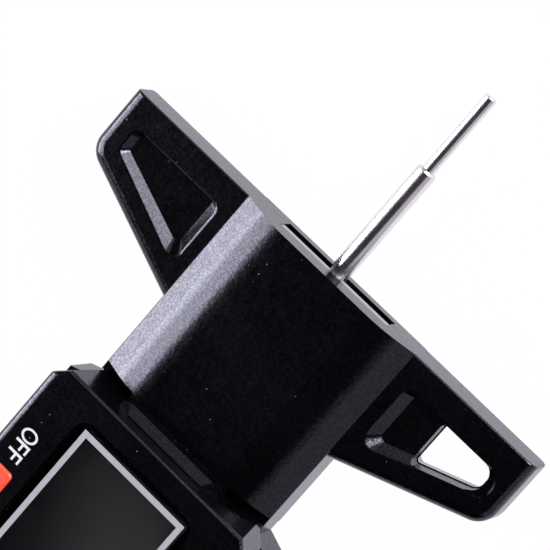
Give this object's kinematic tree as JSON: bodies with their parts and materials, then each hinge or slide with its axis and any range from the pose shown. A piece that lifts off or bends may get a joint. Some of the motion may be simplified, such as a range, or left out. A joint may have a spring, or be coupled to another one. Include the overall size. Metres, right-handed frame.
{
  "type": "depth gauge",
  "caption": "Digital depth gauge: a stepped measuring pin on a beam that slides through a winged reference base and a display head.",
  "frame": {"origin": "on the bench under the gauge as it lies on its flat back, at the middle of its footprint with the pin fully out", "axes": "+Y along the measuring pin towards its tip, +Z out of the display side, +X to the right when the display is seen with the pin up"},
  "size_m": [0.0606, 0.1042, 0.0133],
  "materials": {
    "black_plastic": "fine satin grain",
    "grey_button": "satin",
    "red_button": "satin",
    "stainless": "polished, turned",
    "beam_steel": "ground",
    "screw_steel": "plated",
    "scale_laminate": "gloss",
    "gib_brass": "rolled",
    "spring_steel": "rolled",
    "board": "gloss",
    "resin": "cast",
    "elastomer": "matte",
    "foam": "matte",
    "display": "gloss",
    "lens": "gloss",
    "silver_print": "satin print",
    "cell_steel": "satin"
  },
  "bodies": {
    "housing": {"base_front_shell": "black_plastic", "base_rear_shell": "black_plastic", "head_front_cover": "black_plastic", "head_rear_cover": "black_plastic", "base_screws": "screw_steel", "head_screws": "screw_steel", "gib_strip": "gib_brass", "gib_spring": "spring_steel", "snap_domes": "spring_steel", "battery_contact_positive": "spring_steel", "battery_contact_negative": "spring_steel", "circuit_board": "board", "board_components": "resin", "zebra_strips": "elastomer", "display_gasket": "foam", "lcd_panel": "display", "display_lens": "lens", "display_border": "silver_print", "button_cell": "cell_steel"},
    "beam": {"beam": "beam_steel", "scale_strip": "scale_laminate", "measuring_pin": "stainless", "pin_roll_pin": "stainless", "stop_pin": "stainless", "thumb_cap": "black_plastic", "thumb_cap_screw": "screw_steel"},
    "off_button": {"off_button": "red_button"},
    "on_button": {"on_button": "grey_button"},
    "zero_button": {"zero_button": "grey_button"},
    "unit_button": {"unit_button": "grey_button"},
    "battery_door": {"battery_door": "black_plastic"}
  },
  "joints": [
    {"name": "beam_slide", "type": "slide", "parent": "housing", "child": "beam", "axis": [0, 1, 0], "range_m": [-0.0254, 0]},
    {"name": "off_button_press", "type": "slide", "parent": "housing", "child": "off_button", "axis": [0, 0, -1], "range_m": [0, 0.00035], "stiffness_N_per_m": 3500},
    {"name": "on_button_press", "type": "slide", "parent": "housing", "child": "on_button", "axis": [0, 0, -1], "range_m": [0, 0.00035], "stiffness_N_per_m": 3500},
    {"name": "zero_button_press", "type": "slide", "parent": "housing", "child": "zero_button", "axis": [0, 0, -1], "range_m": [0, 0.00035], "stiffness_N_per_m": 3500},
    {"name": "unit_button_press", "type": "slide", "parent": "housing", "child": "unit_button", "axis": [0, 0, -1], "range_m": [0, 0.00035], "stiffness_N_per_m": 3500},
    {"name": "battery_door_slide", "type": "slide", "parent": "housing", "child": "battery_door", "axis": [0, -1, 0], "range_m": [0, 0.014]}
  ]
}
